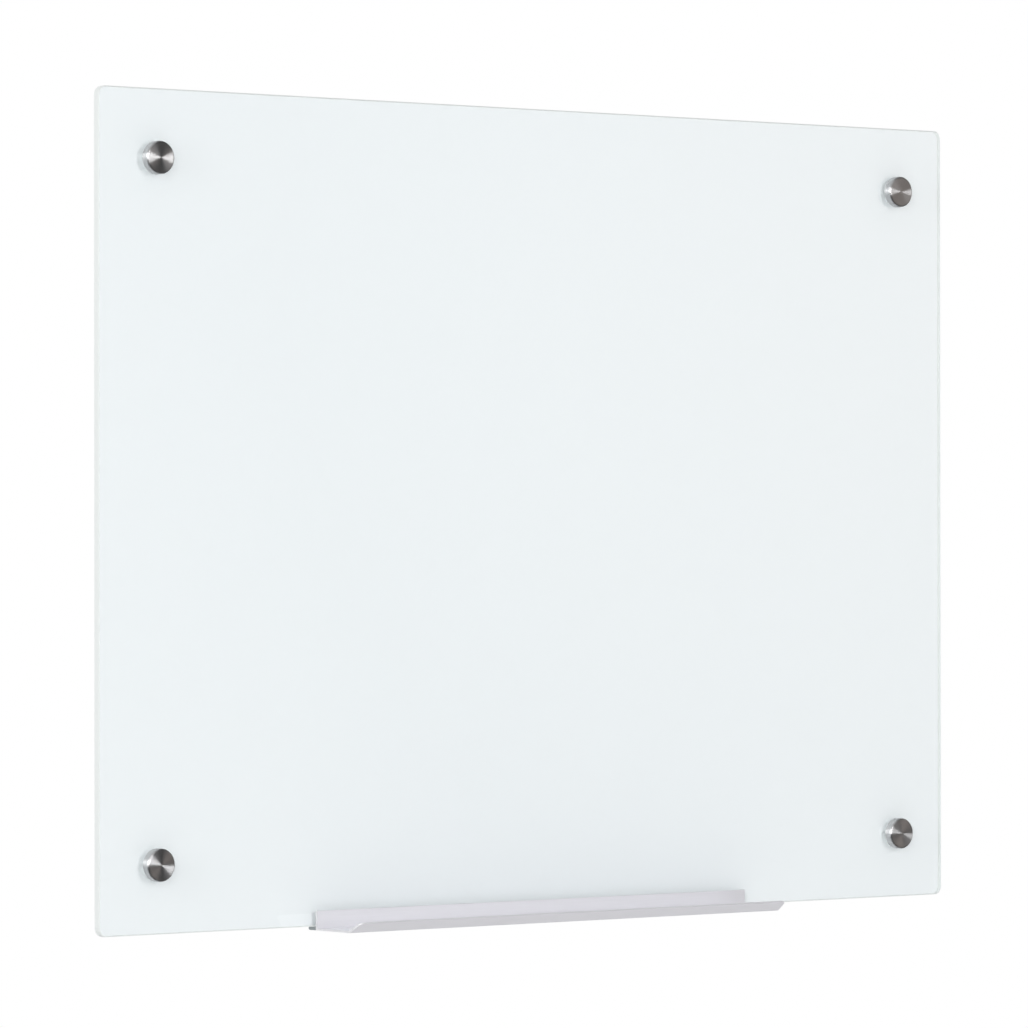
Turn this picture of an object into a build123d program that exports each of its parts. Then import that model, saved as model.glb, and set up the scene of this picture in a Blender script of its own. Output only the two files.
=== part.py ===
# A frameless glass whiteboard, held off the wall by four turned standoffs, with a pen
# tray on its bottom edge.
# Millimetres, +Z up, front towards -Y. The wall is the plane y = 0, and the origin is the
# middle of the four wall screws. "Depth" is a distance in front of the wall.
from build123d import *
from math import cos, radians, sin, tan
import os

os.makedirs("parts", exist_ok=True)

# Glass panel and its white back coat
board_width = 610.0
board_height = 457.0
glass_thickness = 5.0
corner_radius = 5.0
edge_arris = 0.5
coat_thickness = 0.15
coat_hole_margin = 0.5
fixing_side_inset = 36.8
fixing_end_inset = 37.7

# Cap with its threaded stud
cap_diameter = 18.0
cap_thickness = 5.0
cap_front_round = 1.0
cap_rear_round = 0.25
cap_socket_depth = 3.0
stud_diameter = 8.0
stud_engagement = 10.0
stud_end_chamfer = 0.8
stud_key_width = 4.0
stud_key_depth = 4.5
thread_clearance = 0.05

# Washers and the sleeve in the glass hole
front_washer_diameter = 17.0
front_washer_thickness = 0.8
rear_washer_diameter = 17.5
rear_washer_thickness = 1.0
sleeve_wall = 1.1
sleeve_clearance = 0.15

# Barrel on the wall
barrel_diameter = 18.0
barrel_length = 19.0
barrel_base = 3.0
barrel_edge_chamfer = 0.5
barrel_mouth_chamfer = 0.6

# Wall screw
screw_diameter = 4.0
screw_neck_diameter = 3.2
screw_clearance = 0.25
screw_length = 35.0
screw_tip_length = 6.0
screw_head_diameter = 7.6
screw_head_height = 2.6
screw_head_round = 1.2
recess_width = 1.1
recess_span = 4.2
recess_depth = 1.5

# Pen tray and its grip
tray_length = 310.0
tray_offset = -6.0
tray_sheet = 1.0
tray_clearance = 0.12
flange_overlap = 8.7
shelf_depth = 29.5
lip_length = 10.6
lip_angle = 31.0
lip_end_taper = 2.0
lip_corner_radius = 3.0
lip_bend_radius = 1.2
tray_edge_round = 0.3
grip_base = 2.0
grip_leg = 1.2
grip_leg_overlap = 8.0
grip_lead_in = 0.5
grip_heel_round = 0.8

# Depths of the layers, from the wall to the cap
washer_back = barrel_length
coat_back = washer_back + rear_washer_thickness
glass_back = coat_back + coat_thickness
glass_front = glass_back + glass_thickness
cap_back = glass_front + front_washer_thickness
cap_front = cap_back + cap_thickness

# Radii that fit round the stud
stud_radius = stud_diameter / 2
washer_hole_radius = stud_radius + sleeve_clearance
sleeve_radius = washer_hole_radius + sleeve_wall
glass_hole_radius = sleeve_radius + sleeve_clearance
barrel_bore_radius = stud_radius + thread_clearance

# Places of the four fixings
pattern_width = board_width - 2 * fixing_side_inset
pattern_height = board_height - 2 * fixing_end_inset
corners = {
    "top_left": (-pattern_width / 2, pattern_height / 2),
    "top_right": (pattern_width / 2, pattern_height / 2),
    "bottom_left": (-pattern_width / 2, -pattern_height / 2),
    "bottom_right": (pattern_width / 2, -pattern_height / 2),
}


def turned(outline):
    """Turn a closed outline of (radius, depth) points about the Y axis."""
    points = [(radius, -depth) for radius, depth in outline]
    return revolve(make_face(Polyline(*points, close=True)), Axis.Y)


def front_rim(solid):
    """The outermost front edge of a turned piece."""
    return solid.edges().filter_by(GeomType.CIRCLE).group_by(Axis.Y)[0].sort_by(SortBy.RADIUS)[-1]


def rear_rim(solid):
    """The outermost rear edge of a turned piece."""
    return solid.edges().filter_by(GeomType.CIRCLE).group_by(Axis.Y)[-1].sort_by(SortBy.RADIUS)[-1]


# Glass panel: toughened, with rounded corners, ground edges and four drilled holes.
def glass_panel():
    outline = RectangleRounded(board_width, board_height, corner_radius)
    panel = extrude(Plane.XZ.offset(glass_back) * outline, amount=glass_thickness)
    outer_edges = panel.edges().group_by(Axis.Y)
    panel = chamfer(outer_edges[0] + outer_edges[-1], edge_arris)
    hole = turned([
        (0, glass_back),
        (glass_hole_radius + edge_arris, glass_back),
        (glass_hole_radius, glass_back + edge_arris),
        (glass_hole_radius, glass_front - edge_arris),
        (glass_hole_radius + edge_arris, glass_front),
        (0, glass_front),
    ])
    for x, z in corners.values():
        panel -= Pos(x, 0, z) * hole
    return panel


# White coat: enamel baked onto the back of the glass, inside the ground edge and holes.
def white_back_coat():
    coat_width = board_width - 2 * edge_arris
    coat_height = board_height - 2 * edge_arris
    outline = RectangleRounded(coat_width, coat_height, corner_radius - edge_arris)
    opening = Circle(glass_hole_radius + edge_arris + coat_hole_margin)
    for x, z in corners.values():
        outline -= Pos(x, z) * opening
    return extrude(Plane.XZ.offset(coat_back) * outline, amount=coat_thickness)


# Cap: a turned steel disc that screws down on the glass, with a blind socket behind.
def cap():
    cap_radius = cap_diameter / 2
    disc = turned([
        (0, cap_back + cap_socket_depth),
        (barrel_bore_radius, cap_back + cap_socket_depth),
        (barrel_bore_radius, cap_back),
        (cap_radius, cap_back),
        (cap_radius, cap_front),
        (0, cap_front),
    ])
    disc = fillet(front_rim(disc), cap_front_round)
    return fillet(rear_rim(disc), cap_rear_round)


# Stud: a headless screw fixed in the cap's socket, with a hexagon key hole in its end.
def stud():
    stud_end = washer_back - stud_engagement
    stud_top = cap_back + cap_socket_depth
    shaft = turned([
        (0, stud_end),
        (stud_radius - stud_end_chamfer, stud_end),
        (stud_radius, stud_end + stud_end_chamfer),
        (stud_radius, stud_top - stud_end_chamfer),
        (stud_radius - stud_end_chamfer, stud_top),
        (0, stud_top),
    ])
    key_hole = RegularPolygon(stud_key_width / 2, 6, major_radius=False)
    return shaft - extrude(Plane.XZ.offset(stud_end) * key_hole, amount=stud_key_depth)


def washer(back, diameter, thickness):
    """A flat ring that fits round the stud, with its back at one depth."""
    return turned([
        (washer_hole_radius, back),
        (diameter / 2, back),
        (diameter / 2, back + thickness),
        (washer_hole_radius, back + thickness),
    ])


# Sleeve: a plastic tube in the glass hole, which keeps the steel off the glass.
def sleeve():
    return turned([
        (washer_hole_radius, coat_back),
        (sleeve_radius, coat_back),
        (sleeve_radius, glass_front),
        (washer_hole_radius, glass_front),
    ])


# Barrel: a turned steel spacer with a tapped bore and a screw hole through its base.
def barrel():
    barrel_radius = barrel_diameter / 2
    screw_hole_radius = screw_diameter / 2 + screw_clearance
    return turned([
        (screw_hole_radius, 0),
        (barrel_radius - barrel_edge_chamfer, 0),
        (barrel_radius, barrel_edge_chamfer),
        (barrel_radius, barrel_length - barrel_edge_chamfer),
        (barrel_radius - barrel_edge_chamfer, barrel_length),
        (barrel_bore_radius + barrel_mouth_chamfer, barrel_length),
        (barrel_bore_radius, barrel_length - barrel_mouth_chamfer),
        (barrel_bore_radius, barrel_base),
        (screw_hole_radius, barrel_base),
    ])


# Wall screw: a pan head with a cross recess inside the barrel, a plain neck through the
# barrel's base and a threaded length in the wall.
def wall_screw():
    head_radius = screw_head_diameter / 2
    thread_radius = screw_diameter / 2
    neck_radius = screw_neck_diameter / 2
    tip = barrel_base - screw_length
    head_front = barrel_base + screw_head_height
    screw = turned([
        (0, tip),
        (thread_radius, tip + screw_tip_length),
        (thread_radius, 0),
        (neck_radius, 0),
        (neck_radius, barrel_base),
        (head_radius, barrel_base),
        (head_radius, head_front),
        (0, head_front),
    ])
    screw = fillet(front_rim(screw), screw_head_round)
    slot = Rectangle(recess_span, recess_width) + Rectangle(recess_width, recess_span)
    return screw - extrude(Plane.XZ.offset(head_front) * slot, amount=-recess_depth)


# Levels and depths that the tray and its grip share
edge_level = -board_height / 2
grip_top = edge_level - tray_clearance
shelf_bottom = grip_top - grip_base
shelf_top = shelf_bottom + tray_sheet
flange_back = glass_front + tray_clearance
flange_front = flange_back + tray_sheet
tray_left = tray_offset - tray_length / 2


def along_tray(outline):
    """Draw a section of (depth, level) points out over the tray's length."""
    points = [(-depth, level) for depth, level in outline]
    section = make_face(Polyline(*points, close=True))
    return extrude(Plane.YZ.offset(tray_left) * section, amount=tray_length)


def edges_at(solid, depth, level):
    """The long edge of a tray piece at one depth and level."""
    place = Vector(tray_offset, -depth, level)
    return solid.edges().filter_by(Axis.X).sort_by_distance(place)[0]


# Pen tray: an aluminium extrusion with a flange that lies against the glass, a level shelf
# in front of it and a lip that slants up and out, its ends cut back and rounded.
def marker_tray():
    slope_out = cos(radians(lip_angle))
    slope_up = sin(radians(lip_angle))
    bend_outer = flange_front + shelf_depth
    bend_inner = bend_outer - tray_sheet * tan(radians(lip_angle) / 2)
    lip_reach = lip_length * slope_out
    lip_low = (bend_outer + lip_reach, shelf_bottom + lip_length * slope_up)
    lip_high = (lip_low[0] - tray_sheet * slope_up, lip_low[1] + tray_sheet * slope_out)
    flange_top = edge_level + flange_overlap
    tray = along_tray([
        (flange_back, shelf_bottom),
        (bend_outer, shelf_bottom),
        lip_low,
        lip_high,
        (bend_inner, shelf_top),
        (flange_front, shelf_top),
        (flange_front, flange_top),
        (flange_back, flange_top),
    ])
    tray = fillet(edges_at(tray, bend_outer, shelf_bottom), lip_bend_radius + tray_sheet)
    tray = fillet(edges_at(tray, bend_inner, shelf_top), lip_bend_radius)
    for depth in (flange_back, flange_front):
        tray = fillet(edges_at(tray, depth, flange_top), tray_edge_round)
    cut_depth = bend_outer + 2 * lip_reach
    for side in (-1, 1):
        end = tray_offset + side * tray_length / 2
        cut = make_face(Polyline(
            (end, -bend_outer),
            (end - 2 * side * lip_end_taper, -cut_depth),
            (end, -cut_depth),
            close=True,
        ))
        tray -= extrude(Plane.XY.offset(shelf_bottom) * cut, amount=lip_length)
        corner = Vector(end - side * lip_end_taper, -lip_low[0], (lip_low[1] + lip_high[1]) / 2)
        tray = fillet(tray.edges().sort_by_distance(corner)[0], lip_corner_radius)
    return tray


# Grip: a grey plastic strip bonded to the back of the tray's flange. Its base lies under
# the board and its leg behind, so that it holds the tray on by friction.
def tray_grip():
    leg_front = coat_back - tray_clearance
    leg_back = leg_front - grip_leg
    leg_top = edge_level + grip_leg_overlap
    grip = along_tray([
        (leg_back, shelf_bottom),
        (flange_back, shelf_bottom),
        (flange_back, grip_top),
        (leg_front, grip_top),
        (leg_front, leg_top - grip_lead_in),
        (leg_front - grip_lead_in, leg_top),
        (leg_back, leg_top),
    ])
    return fillet(edges_at(grip, leg_back, shelf_bottom), grip_heel_round)


pieces = {
    "glass_panel": glass_panel(),
    "white_back_coat": white_back_coat(),
    "marker_tray": marker_tray(),
    "tray_grip": tray_grip(),
}
standoff = {
    "cap": cap(),
    "stud": stud(),
    "front_washer": washer(glass_front, front_washer_diameter, front_washer_thickness),
    "sleeve": sleeve(),
    "rear_washer": washer(washer_back, rear_washer_diameter, rear_washer_thickness),
    "barrel": barrel(),
    "wall_screw": wall_screw(),
}
for corner, (x, z) in corners.items():
    for name, solid in standoff.items():
        pieces[f"{name}_{corner}"] = Pos(x, 0, z) * solid

for name, solid in pieces.items():
    export_step(solid, f"parts/{name}.step")
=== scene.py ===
# A frameless glass whiteboard on four turned standoffs, with a pen tray on its bottom edge.
# Metres, +Z up. The board's front faces -Y, and the wall that it hangs on is the plane y = 0.
import bmesh
import bpy
from math import atan2, cos, pi, radians, sin, tau
from mathutils import Matrix, Vector


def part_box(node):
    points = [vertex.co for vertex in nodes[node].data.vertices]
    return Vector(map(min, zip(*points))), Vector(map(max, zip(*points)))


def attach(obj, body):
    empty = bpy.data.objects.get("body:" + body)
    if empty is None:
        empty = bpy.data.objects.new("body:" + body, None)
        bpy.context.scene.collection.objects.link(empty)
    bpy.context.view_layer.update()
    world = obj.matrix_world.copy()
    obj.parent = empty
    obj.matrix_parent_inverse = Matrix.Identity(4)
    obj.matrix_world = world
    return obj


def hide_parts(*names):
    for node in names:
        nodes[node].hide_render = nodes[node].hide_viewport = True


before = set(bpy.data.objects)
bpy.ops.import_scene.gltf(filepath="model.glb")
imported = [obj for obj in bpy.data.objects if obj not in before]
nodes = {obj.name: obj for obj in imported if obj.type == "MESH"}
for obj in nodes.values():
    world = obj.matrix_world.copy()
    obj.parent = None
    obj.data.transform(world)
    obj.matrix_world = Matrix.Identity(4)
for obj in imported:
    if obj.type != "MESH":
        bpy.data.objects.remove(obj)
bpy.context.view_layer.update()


# Camera: a long lens, a little below the board's middle and well round to its left, so
# that the board's far side is only slightly smaller than its near side.
camera_place = Vector((-2.1159, -2.6716, -0.0123))
camera_turn = radians(38.36)
camera_rise = radians(0.189)
camera_roll = radians(-0.063)
camera_focal_px = 5969.5
photo_width_px = 1028
sensor_width_mm = 36.0
camera_reach = 60.0

ahead = Vector((
    sin(camera_turn) * cos(camera_rise),
    cos(camera_turn) * cos(camera_rise),
    sin(camera_rise),
))
level_right = Vector((cos(camera_turn), -sin(camera_turn), 0))
level_up = level_right.cross(ahead)
camera_right = level_right * cos(camera_roll) + level_up * sin(camera_roll)
camera_up = level_up * cos(camera_roll) - level_right * sin(camera_roll)
camera_data = bpy.data.cameras.new("photo_camera")
camera_data.sensor_width = sensor_width_mm
camera_data.lens = sensor_width_mm * camera_focal_px / photo_width_px
camera_data.clip_end = camera_reach
camera = bpy.data.objects.new("photo_camera", camera_data)
bpy.context.scene.collection.objects.link(camera)
camera_axes = Matrix((camera_right, camera_up, -ahead)).transposed().to_4x4()
camera.matrix_world = Matrix.Translation(camera_place) @ camera_axes
bpy.context.scene.camera = camera
bpy.context.scene.view_settings.view_transform = "Standard"


# Studio: a white surround behind the board, and in front a room that turned steel sees as
# dim, with four soft glows. One tall lamp in front draws each cap's bright wedge, and a
# narrow one under the tray lights its lip. The floor is pale to matt faces and the camera,
# but nearly black to mirrors, which paints a dark reflection into the metal.
ambient_level = 0.58
behind_level = 0.90
bounced_level = 1.0
bounce_limit = 0.5
room_gloss = 0.065
behind_start = -0.05
behind_full = 0.25
# Each glow: the direction of its middle, how near its edge and its core are, its brightness.
upper_left_glow = ((-0.62, -0.30, 0.72), 0.35, 0.95, 0.435)
high_front_glow = ((0.150, -0.853, 0.500), 0.94, 0.99, 0.55)
warm_right_glow = ((0.7119, -0.6996, 0.0610), 0.9863, 1.0, 1.0)
far_left_glow = ((-0.91, -0.36, 0.20), 0.94, 0.985, 3.2)
white = (1, 1, 1, 1)
warm_white = (1.0, 0.84, 0.74, 1)


def add_node(tree, kind, inputs=None, **settings):
    """Adds a shader node, sets its plain values and links its inputs."""
    made = tree.nodes.new(kind)
    for name, value in settings.items():
        setattr(made, name, value)
    for name, value in (inputs or {}).items():
        if isinstance(value, bpy.types.NodeSocket):
            tree.links.new(value, made.inputs[name])
        else:
            made.inputs[name].default_value = value
    return made


def maths(tree, operation, first, second=0.0):
    """The output of a maths node on two sockets or numbers."""
    return add_node(tree, "ShaderNodeMath", {0: first, 1: second}, operation=operation).outputs[0]


def vector_maths(tree, operation, first, second):
    """A maths node on two vectors."""
    return add_node(tree, "ShaderNodeVectorMath", {0: first, 1: second}, operation=operation)


def ramp(tree, value, start, end, low, high):
    """Maps a value from one range to another, held at both ends."""
    limits = {"Value": value, "From Min": start, "From Max": end, "To Min": low, "To Max": high}
    return add_node(tree, "ShaderNodeMapRange", limits).outputs[0]


def blended(tree, factor, first, second):
    """A colour between two colours."""
    inputs = {"Factor": factor, "A": first, "B": second}
    return add_node(tree, "ShaderNodeMix", inputs, data_type="RGBA").outputs[2]


def glow(tree, direction, middle, edge, core, brightness):
    """A soft round glow in the surround."""
    nearness = vector_maths(tree, "DOT_PRODUCT", direction, middle).outputs["Value"]
    share = ramp(tree, nearness, edge, core, 0.0, 1.0)
    return share, maths(tree, "MULTIPLY", share, brightness)


world = bpy.data.worlds.new("white_surround")
bpy.context.scene.world = world
world.use_nodes = True
tree = world.node_tree
tree.nodes.clear()
rays = add_node(tree, "ShaderNodeLightPath").outputs
direction = add_node(tree, "ShaderNodeTexCoord").outputs["Generated"]
depth = add_node(tree, "ShaderNodeSeparateXYZ", {0: direction}).outputs["Y"]
behind = ramp(tree, depth, behind_start, behind_full, 0.0, 1.0)
warmth, warm_light = glow(tree, direction, *warm_right_glow)
room = maths(tree, "ADD", glow(tree, direction, *upper_left_glow)[1], room_gloss)
room = maths(tree, "ADD", room, glow(tree, direction, *high_front_glow)[1])
room = maths(tree, "ADD", room, warm_light)
room = maths(tree, "ADD", room, glow(tree, direction, *far_left_glow)[1])
# Metal that a matt face sees mirrors the even surround, not the dim room.
soft_level = ramp(tree, behind, 0.0, 1.0, ambient_level, behind_level)
bounced = maths(tree, "GREATER_THAN", rays["Diffuse Depth"], bounce_limit)
direct = maths(tree, "SUBTRACT", 1.0, bounced)
gloss_level = maths(tree, "MULTIPLY", maths(tree, "MAXIMUM", behind, room), direct)
gloss_level = maths(tree, "ADD", gloss_level, maths(tree, "MULTIPLY", bounced, bounced_level))
clear_level = ramp(tree, behind, 0.0, 1.0, ambient_level, 1.0)
level = maths(tree, "MULTIPLY", rays["Is Glossy Ray"], gloss_level)
seen_clear = maths(tree, "MULTIPLY", rays["Is Transmission Ray"], clear_level)
level = maths(tree, "ADD", level, seen_clear)
level = maths(tree, "MAXIMUM", level, rays["Is Camera Ray"])
mirrored = maths(tree, "MAXIMUM", rays["Is Glossy Ray"], rays["Is Transmission Ray"])
seen = maths(tree, "MAXIMUM", rays["Is Camera Ray"], mirrored)
unseen = maths(tree, "SUBTRACT", 1.0, seen)
level = maths(tree, "ADD", level, maths(tree, "MULTIPLY", unseen, soft_level))
warm_gloss = maths(tree, "MULTIPLY", warmth, rays["Is Glossy Ray"])
tint = blended(tree, warm_gloss, white, warm_white)
surround = add_node(tree, "ShaderNodeBackground", {"Color": tint, "Strength": level})
add_node(tree, "ShaderNodeOutputWorld", {"Surface": surround.outputs[0]})


def soft_lamp(name, place, target, width, height, radiance):
    """A rectangular soft lamp of a given brightness that faces a point."""
    data = bpy.data.lights.new(name, "AREA")
    data.shape = "RECTANGLE"
    data.size = width
    data.size_y = height
    data.energy = radiance * width * height * pi
    lamp = bpy.data.objects.new(name, data)
    bpy.context.scene.collection.objects.link(lamp)
    facing = (Vector(target) - Vector(place)).to_track_quat("-Z", "Y")
    lamp.matrix_world = Matrix.Translation(place) @ facing.to_matrix().to_4x4()
    lamp.visible_camera = False
    return lamp


board_middle = (0, 0, 0)
above_low_card = (0.08, 0.03, 0)
# Each lamp: its name, its place, the point that it faces, its width, height and brightness.
front_lamp = ("front_softbox", (0.12, -3.70, 0.43), board_middle, 0.6, 1.4, 11.6)
other_lamps = (
    ("fill_softbox", (-2.30, -2.90, 0.60), board_middle, 1.2, 1.2, 4.4),
    ("side_softbox", (-1.95, -0.62, 0.30), board_middle, 0.4, 1.1, 3.0),
    ("back_softbox", (0.90, 2.60, 0.60), board_middle, 1.2, 1.2, 2.5),
    ("low_card", (0.08, 0.03, -0.60), above_low_card, 1.0, 0.10, 1.1),
)
front_softbox = soft_lamp(*front_lamp)
for lamp in other_lamps:
    soft_lamp(*lamp)

floor_level = -1.6
floor_size = 12.0
floor_lightness = 0.9
floor_lift = 0.6
floor_gloss_drop = 0.80
bpy.ops.mesh.primitive_plane_add(size=floor_size, location=(0, 0, floor_level))
floor = bpy.context.object
floor.name = "floor"
floor_paint = bpy.data.materials.new("pale_floor")
floor_paint.use_nodes = True
tree = floor_paint.node_tree
tree.nodes.clear()
rays = add_node(tree, "ShaderNodeLightPath").outputs
# Painted reflection: to mirrors the floor's tone drops from 0.9 to 0.1, so metal shows a dark
# floor that matt faces see as pale.
drop = maths(tree, "MULTIPLY", rays["Is Glossy Ray"], floor_gloss_drop)
tone = maths(tree, "SUBTRACT", floor_lightness, drop)
matt = add_node(tree, "ShaderNodeBsdfDiffuse", {"Color": tone})
lift_level = maths(tree, "MULTIPLY", rays["Is Camera Ray"], floor_lift)
lift = add_node(tree, "ShaderNodeEmission", {"Strength": lift_level})
both = add_node(tree, "ShaderNodeAddShader", {0: matt.outputs[0], 1: lift.outputs[0]})
add_node(tree, "ShaderNodeOutputMaterial", {"Surface": both.outputs[0]})
floor.data.materials.append(floor_paint)


# Wall screws: zinc-plated steel wood screws. The pan head with its cross recess bears on
# the inside of the barrel's base, and the rolled thread holds in the wall.
corners = ("top_left", "top_right", "bottom_left", "bottom_right")
places = {corner: sum(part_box(f"cap_{corner}"), Vector()) / 2 for corner in corners}
screw_tip = -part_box("wall_screw_top_left")[1].y
screw_tip_length = 0.006
screw_radius = 0.002
screw_neck_radius = 0.0016
screw_head_radius = 0.0038
screw_head_height = 0.0026
screw_head_round = 0.0012
screw_head_steps = 5
barrel_base = 0.003
wood_pitch = 0.0018
wood_root_share = 0.68
# A thread's profile: how far along one turn each point is, and how high, from root to crest.
wood_profile = ((0.0, 0.0), (0.48, 0.0), (0.70, 1.0), (0.78, 1.0))
recess_width = 0.0011
recess_span = 0.0042
recess_depth = 0.0015
weld_distance = 0.000002
sharp_edge = radians(32)
zinc_grain = 1400.0
zinc_dark = (0.60, 0.60, 0.58)
zinc_light = (0.70, 0.70, 0.685)
zinc_roughness = (0.27, 0.36)
zinc_grit = {"Strength": 0.15, "Distance": 0.00005}
cloud_detail = 4.0
cloud_range = (0.3, 0.7)


def circle(angles, radius, depth):
    """A ring of points at one distance in front of the wall."""
    return [Vector((radius * cos(angle), -depth, radius * sin(angle))) for angle in angles]


def thread(angles, start, end, pitch, profile, radius_at):
    """Rings that follow a right-hand thread from one depth to another."""
    rings = []
    for turn in range(-1, int((end - start) / pitch) + 1):
        for along, up in profile:
            ring = []
            for angle in angles:
                depth = start + (turn + along + angle / tau) * pitch
                depth = min(max(depth, start), end)
                radius = radius_at(depth, up)
                ring.append(Vector((radius * cos(angle), -depth, radius * sin(angle))))
            rings.append(ring)
    return rings


def skin(name, rings, material):
    """A closed mesh over rings of points, smooth but for its sharp edges."""
    shell = bmesh.new()
    rows = [[shell.verts.new(point) for point in ring] for ring in rings]
    for near, far in zip(rows, rows[1:]):
        for at in range(len(near)):
            shell.faces.new((near[at - 1], near[at], far[at], far[at - 1]))
    shell.faces.new(rows[0])
    shell.faces.new(rows[-1])
    bmesh.ops.remove_doubles(shell, verts=shell.verts, dist=weld_distance)
    bmesh.ops.dissolve_degenerate(shell, edges=shell.edges, dist=weld_distance)
    bmesh.ops.recalc_face_normals(shell, faces=shell.faces)
    mesh = bpy.data.meshes.new(name)
    shell.to_mesh(mesh)
    shell.free()
    mesh.polygons.foreach_set("use_smooth", [True] * len(mesh.polygons))
    mesh.set_sharp_from_angle(angle=sharp_edge)
    mesh.materials.append(material)
    return mesh


def place_at_corner(mesh, piece_name, corner, body):
    """Hangs one copy of a mesh at a corner, in the place of its plain CAD solid."""
    piece = bpy.data.objects.new(f"{piece_name}_{corner}_threaded", mesh)
    piece.location = (places[corner].x, 0, places[corner].z)
    bpy.context.scene.collection.objects.link(piece)
    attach(piece, body)
    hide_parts(f"{piece_name}_{corner}")


def new_material(name):
    """An empty material and its node tree."""
    made = bpy.data.materials.new(name)
    made.use_nodes = True
    made.node_tree.nodes.clear()
    return made, made.node_tree


def finish(tree, shader):
    """Sends a shader to the surface."""
    add_node(tree, "ShaderNodeOutputMaterial", {"Surface": shader.outputs[0]})


def raised(tree, height, shape):
    """A normal that follows small heights, of a given strength and distance."""
    return add_node(tree, "ShaderNodeBump", {**shape, "Height": height}).outputs[0]


def mottled(tree, grain, darker, lighter):
    """A colour that wanders between two tones, and the cloud that it follows."""
    where = add_node(tree, "ShaderNodeTexCoord").outputs["Object"]
    inputs = {"Vector": where, "Scale": grain, "Detail": cloud_detail}
    cloud = add_node(tree, "ShaderNodeTexNoise", inputs).outputs[0]
    return blended(tree, cloud, (*darker, 1), (*lighter, 1)), cloud


zinc, tree = new_material("bright_zinc")
tone, cloud = mottled(tree, zinc_grain, zinc_dark, zinc_light)
plated_steel = add_node(tree, "ShaderNodeBsdfPrincipled", {
    "Base Color": tone,
    "Metallic": 1.0,
    "Roughness": ramp(tree, cloud, *cloud_range, *zinc_roughness),
    "Normal": raised(tree, cloud, zinc_grit),
})
finish(tree, plated_steel)

# One quarter of the head's ring: points on the cross recess's arm end, corner and flank.
cross_corner = atan2(recess_width, recess_span)
cross_slack = 0.001
half_way = (cross_corner + pi / 4) / 2
quarter = (0, cross_corner / 2, cross_corner, half_way, pi / 4)
quarter += tuple(pi / 2 - angle for angle in (half_way, cross_corner, cross_corner / 2))
screw_angles = [turn * pi / 2 + angle for turn in range(4) for angle in quarter]


def wood_radius(depth, up):
    """The wood thread's radius at a depth: it tapers to the tip and runs out at the wall."""
    full = screw_radius * min(1.0, (depth - screw_tip) / screw_tip_length)
    crest = min(full, screw_neck_radius - depth)
    root = min(full * wood_root_share, crest)
    return root + (crest - root) * up


def cross(angles, depth):
    """The ring of a cross recess at one depth."""
    ring = []
    for angle in angles:
        folded = angle % (pi / 2)
        folded = min(folded, pi / 2 - folded)
        on_arm_end = folded <= cross_corner + cross_slack
        radius = recess_span / 2 / cos(folded) if on_arm_end else recess_width / 2 / sin(folded)
        ring.append(Vector((radius * cos(angle), -depth, radius * sin(angle))))
    return ring


head_front = barrel_base + screw_head_height
screw_rings = thread(screw_angles, screw_tip, 0.0, wood_pitch, wood_profile, wood_radius)
screw_rings.append(circle(screw_angles, screw_neck_radius, barrel_base))
screw_rings.append(circle(screw_angles, screw_head_radius, barrel_base))
for step in range(screw_head_steps + 1):
    bend = pi / 2 * step / screw_head_steps
    radius = screw_head_radius - screw_head_round * (1 - cos(bend))
    height = head_front - screw_head_round * (1 - sin(bend))
    screw_rings.append(circle(screw_angles, radius, height))
screw_rings.append(cross(screw_angles, head_front))
screw_rings.append(cross(screw_angles, head_front - recess_depth))
screw_mesh = skin("wall_screw", screw_rings, zinc)
for corner in corners:
    place_at_corner(screw_mesh, "wall_screw", corner, "board")


# Barrels: turned stainless spacers with a tapped bore, each screwed flat against the wall.
# The tool leaves fine rings round them.
barrel_dark = (0.54, 0.54, 0.54)
barrel_light = (0.68, 0.68, 0.67)
barrel_roughness = 0.34
barrel_grain = 0.6
barrel_ring_pitch = 0.00022
ring_share = 0.6
stain_share = 0.4
stain_scale = 260.0
ring_detail = 2.0
stain_detail = 3.0
quarter_turn = 0.25
middle_share = (0.5, 0.5, 0.5)
ring_height = {"Strength": 0.10, "Distance": 0.00002}


def turned_steel(name, node_name, darker, lighter, roughness, grain, ring_pitch):
    """Steel with fine tool rings round the Y axis, measured from the piece's own middle."""
    made, tree = new_material(name)
    low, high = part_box(node_name)
    share = add_node(tree, "ShaderNodeTexCoord").outputs["Generated"]
    centred = vector_maths(tree, "SUBTRACT", share, middle_share).outputs[0]
    where = vector_maths(tree, "MULTIPLY", centred, high - low).outputs[0]
    split = add_node(tree, "ShaderNodeSeparateXYZ", {0: where}).outputs
    flat = add_node(tree, "ShaderNodeCombineXYZ", {"X": split["X"], "Z": split["Z"]}).outputs[0]
    reach = add_node(tree, "ShaderNodeVectorMath", {0: flat}, operation="LENGTH").outputs["Value"]
    along = maths(tree, "ADD", reach, split["Y"])
    inputs = {"W": along, "Scale": 1 / ring_pitch, "Detail": ring_detail}
    rings = add_node(tree, "ShaderNodeTexNoise", inputs, noise_dimensions="1D").outputs[0]
    inputs = {"Vector": where, "Scale": stain_scale, "Detail": stain_detail}
    stain = add_node(tree, "ShaderNodeTexNoise", inputs).outputs[0]
    ring_part = maths(tree, "MULTIPLY", rings, ring_share)
    mixed = maths(tree, "ADD", ring_part, maths(tree, "MULTIPLY", stain, stain_share))
    round_axis = add_node(tree, "ShaderNodeTangent", direction_type="RADIAL", axis="Y")
    steel = add_node(tree, "ShaderNodeBsdfPrincipled", {
        "Base Color": blended(tree, mixed, (*darker, 1), (*lighter, 1)),
        "Metallic": 1.0,
        "Roughness": roughness,
        "Anisotropic": grain,
        "Anisotropic Rotation": quarter_turn,
        "Tangent": round_axis.outputs[0],
        "Normal": raised(tree, rings, ring_height),
    })
    finish(tree, steel)
    return made


def dress(node_name, material):
    """Gives a piece of the frame its finish."""
    piece = nodes[node_name]
    piece.data.materials.clear()
    piece.data.materials.append(material)


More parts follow.
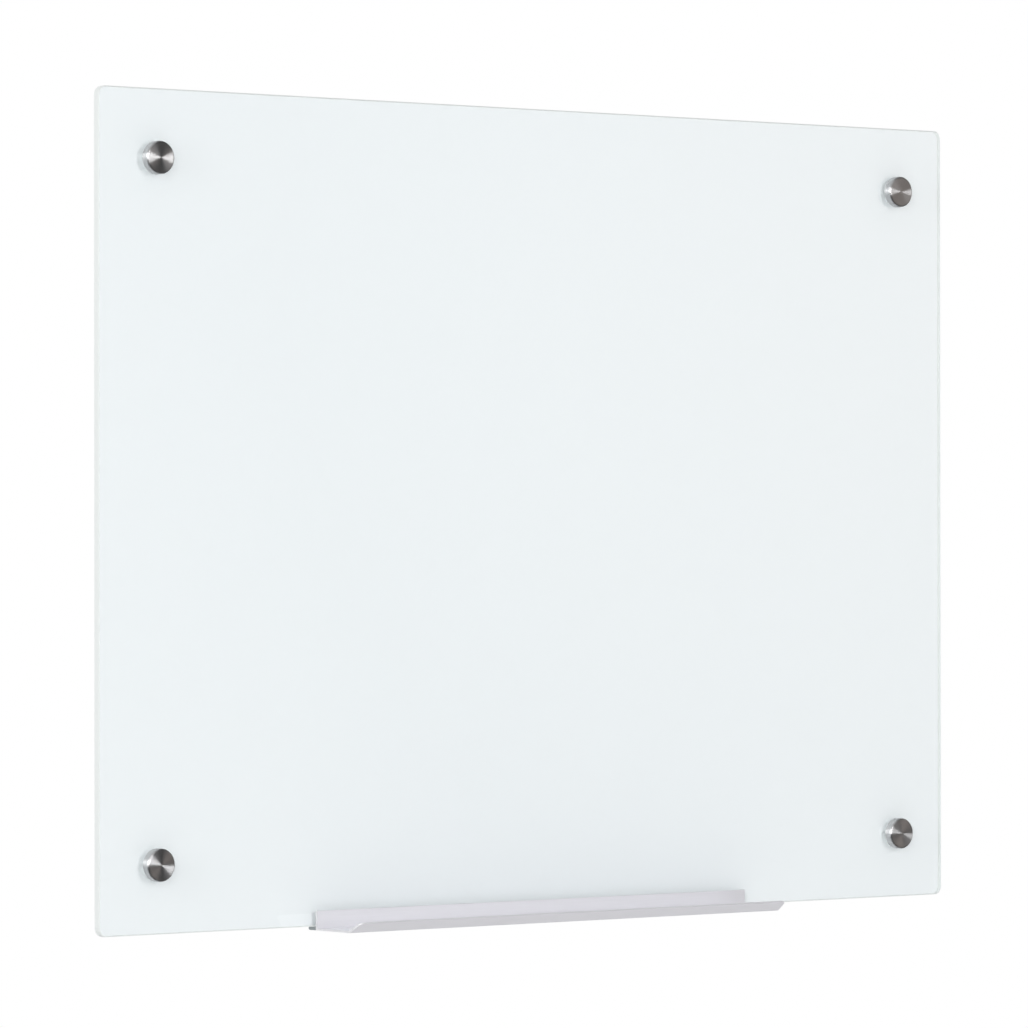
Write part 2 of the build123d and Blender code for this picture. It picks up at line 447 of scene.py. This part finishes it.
barrel_steel = turned_steel(
    "turned_barrel", "barrel_top_left", barrel_dark, barrel_light,
    barrel_roughness, barrel_grain, barrel_ring_pitch,
)
for corner in corners:
    dress(f"barrel_{corner}", barrel_steel)


# Rear washers: milky soft plastic rings, stamped from sheet. Each lies between its barrel
# and the white coat, and is pinched there by the cap.
milky_grain = 400.0
milky_dark = (0.74, 0.76, 0.76)
milky_light = (0.84, 0.85, 0.85)
milky_roughness = (0.45, 0.6)
milky_clearness = 0.15

soft_milky, tree = new_material("soft_milky_plastic")
tone, cloud = mottled(tree, milky_grain, milky_dark, milky_light)
soft_ring = add_node(tree, "ShaderNodeBsdfPrincipled", {
    "Base Color": tone,
    "Roughness": ramp(tree, cloud, *cloud_range, *milky_roughness),
    "Transmission Weight": milky_clearness,
})
finish(tree, soft_ring)
for corner in corners:
    dress(f"rear_washer_{corner}", soft_milky)


# Glass panel: one sheet of clear toughened float glass with rounded corners, its edges and
# arrises ground smooth. It hangs on the four studs.
glass_ior = 1.52
glass_tint = (0.965, 0.99, 0.98, 1)
glass_pass = (0.985, 0.995, 0.99, 1)
frost_grain = 1800.0
frost_dark = (0.84, 0.88, 0.87)
frost_light = (0.90, 0.93, 0.92)
frost_roughness = (0.35, 0.50)
face_limit = 0.9

clear_glass, tree = new_material("toughened_glass")
normal = add_node(tree, "ShaderNodeTexCoord").outputs["Normal"]
across = add_node(tree, "ShaderNodeSeparateXYZ", {0: normal}).outputs["Y"]
ground = maths(tree, "LESS_THAN", maths(tree, "ABSOLUTE", across), face_limit)
frost, cloud = mottled(tree, frost_grain, frost_dark, frost_light)
ground_roughness = ramp(tree, cloud, *cloud_range, *frost_roughness)
glass = add_node(tree, "ShaderNodeBsdfPrincipled", {
    "Base Color": blended(tree, ground, glass_tint, frost),
    "Roughness": maths(tree, "MULTIPLY", ground, ground_roughness),
    "IOR": glass_ior,
    "Transmission Weight": maths(tree, "SUBTRACT", 1.0, ground),
})
rays = add_node(tree, "ShaderNodeLightPath").outputs
clear_way = add_node(tree, "ShaderNodeBsdfTransparent", {"Color": glass_pass})
light_only = maths(tree, "MAXIMUM", rays["Is Shadow Ray"], rays["Is Diffuse Ray"])
pane_parts = {0: light_only, 1: glass.outputs[0], 2: clear_way.outputs[0]}
finish(tree, add_node(tree, "ShaderNodeMixShader", pane_parts))
dress("glass_panel", clear_glass)

# The glass would mirror the front lamp as a hard white patch, so that lamp passes it over.
passed_over = bpy.data.collections.new("not_lit_by_front_softbox")
passed_over.objects.link(nodes["glass_panel"])
passed_over.collection_objects[0].light_linking.link_state = "EXCLUDE"
front_softbox.light_linking.receiver_collection = passed_over


# White coat: enamel baked onto the back of the glass. Its front is bonded to the glass, so
# the film starts a hair inside it.
bond_depth = 0.00003
enamel_grain = 900.0
enamel_dark = (0.880, 0.906, 0.932)
enamel_light = (0.895, 0.920, 0.946)
enamel_roughness = 0.55
enamel_peel = {"Strength": 0.05, "Distance": 0.0001}

enamel, tree = new_material("baked_white_enamel")
tone, cloud = mottled(tree, enamel_grain, enamel_dark, enamel_light)
paint = add_node(tree, "ShaderNodeBsdfPrincipled", {
    "Base Color": tone,
    "Roughness": enamel_roughness,
    "Normal": raised(tree, cloud, enamel_peel),
})
finish(tree, paint)

coat_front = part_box("white_back_coat")[0].y
film_mesh = nodes["white_back_coat"].data.copy()
for corner_point in film_mesh.vertices:
    if corner_point.co.y < coat_front + bond_depth:
        corner_point.co.y -= bond_depth
film_mesh.materials.clear()
film_mesh.materials.append(enamel)
film = bpy.data.objects.new("enamel_film", film_mesh)
bpy.context.scene.collection.objects.link(film)
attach(film, "board")
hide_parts("white_back_coat")


# Sleeves and front washers: plastic that keeps the steel off the glass. It lets light
# through, but its moulded skin is milky.
clear_grain = 500.0
clear_dark = (0.82, 0.86, 0.86)
clear_light = (0.90, 0.92, 0.92)
clear_roughness = (0.22, 0.34)
clear_clearness = 0.1

clear_plastic, tree = new_material("clear_plastic")
tone, cloud = mottled(tree, clear_grain, clear_dark, clear_light)
plastic = add_node(tree, "ShaderNodeBsdfPrincipled", {
    "Base Color": tone,
    "Roughness": ramp(tree, cloud, *cloud_range, *clear_roughness),
    "Transmission Weight": clear_clearness,
})
finish(tree, plastic)
for corner in corners:
    dress(f"front_washer_{corner}", clear_plastic)
    dress(f"sleeve_{corner}", clear_plastic)


# Studs: headless screws with a rolled M8 thread, fixed in the caps' sockets. The key hole in
# the end serves to drive one into its cap.
stud_radius = 0.004
stud_pitch = 0.00125
stud_thread_depth = 0.000767
stud_end_chamfer = 0.0008
stud_key_width = 0.004
stud_key_depth = 0.0045
stud_facets = 48
metric_profile = ((0.0, 0.0), (0.25, 0.0), (0.5625, 1.0), (0.6875, 1.0))
stud_angles = [tau * step / stud_facets for step in range(stud_facets)]
stud_front, stud_back = (-end.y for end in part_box("stud_top_left"))


def metric_radius(depth, up):
    """The stud's radius at a depth, cut back to its chamfer at each end."""
    limit = stud_radius - stud_end_chamfer + min(depth - stud_back, stud_front - depth)
    return min(limit, stud_radius - stud_thread_depth * (1 - up))


def hexagon(angles, depth):
    """The ring of a hexagon key hole at one depth."""
    ring = []
    for angle in angles:
        radius = stud_key_width / 2 / cos((angle + pi / 6) % (pi / 3) - pi / 6)
        ring.append(Vector((radius * cos(angle), -depth, radius * sin(angle))))
    return ring


stud_rings = [hexagon(stud_angles, stud_back + stud_key_depth), hexagon(stud_angles, stud_back)]
stud_rings += thread(stud_angles, stud_back, stud_front, stud_pitch, metric_profile, metric_radius)
stud_mesh = skin("stud", stud_rings, zinc)
for corner in corners:
    place_at_corner(stud_mesh, "stud", corner, f"cap_{corner}")


# Caps: turned stainless discs with a rounded front edge. The tool's rings on the face spread
# light as a wedge on each side of the middle.
cap_dark = (0.59, 0.59, 0.60)
cap_light = (0.71, 0.71, 0.715)
cap_roughness = 0.30
cap_grain = 1.0
cap_ring_pitch = 0.00016

cap_steel = turned_steel(
    "turned_cap", "cap_top_left", cap_dark, cap_light, cap_roughness, cap_grain, cap_ring_pitch,
)
for corner in corners:
    dress(f"cap_{corner}", cap_steel)


# Pen tray: a satin anodised aluminium extrusion, sawn to length at both ends. The drawing
# die leaves fine lines along it.
satin_dark = (0.858, 0.853, 0.893, 1)
satin_light = (0.917, 0.912, 0.951, 1)
sawn_tone = (0.84, 0.835, 0.855, 1)
sawn_limit = 0.9
satin_shine = 0.40
satin_roughness = (0.38, 0.5)
line_stretch = (0.02, 1.0, 1.0)
line_scale = 2600.0
line_detail = 3.0
line_height = {"Strength": 0.12, "Distance": 0.00003}

anodised, tree = new_material("satin_anodised")
coordinates = add_node(tree, "ShaderNodeTexCoord").outputs
endwise = add_node(tree, "ShaderNodeSeparateXYZ", {0: coordinates["Normal"]}).outputs["X"]
sawn = maths(tree, "GREATER_THAN", maths(tree, "ABSOLUTE", endwise), sawn_limit)
stretch = {"Vector": coordinates["Object"], "Scale": line_stretch}
drawn = add_node(tree, "ShaderNodeMapping", stretch).outputs[0]
inputs = {"Vector": drawn, "Scale": line_scale, "Detail": line_detail}
lines = add_node(tree, "ShaderNodeTexNoise", inputs).outputs[0]
satin = blended(tree, lines, satin_dark, satin_light)
aluminium = add_node(tree, "ShaderNodeBsdfPrincipled", {
    "Base Color": blended(tree, sawn, satin, sawn_tone),
    "Metallic": satin_shine,
    "Roughness": ramp(tree, lines, *cloud_range, *satin_roughness),
    "Normal": raised(tree, lines, line_height),
})
finish(tree, aluminium)
dress("marker_tray", anodised)


# Grip: a grey plastic strip bonded to the back of the tray's flange. Its base lies under the
# board and its leg behind.
grip_grain = 1500.0
grip_dark = (0.24, 0.27, 0.28)
grip_light = (0.30, 0.33, 0.34)
grip_roughness = (0.55, 0.75)
grip_texture = {"Strength": 0.2, "Distance": 0.00005}

grip_plastic, tree = new_material("grey_grip_plastic")
tone, cloud = mottled(tree, grip_grain, grip_dark, grip_light)
strip = add_node(tree, "ShaderNodeBsdfPrincipled", {
    "Base Color": tone,
    "Roughness": ramp(tree, cloud, *cloud_range, *grip_roughness),
    "Normal": raised(tree, cloud, grip_texture),
})
finish(tree, strip)
dress("tray_grip", grip_plastic)
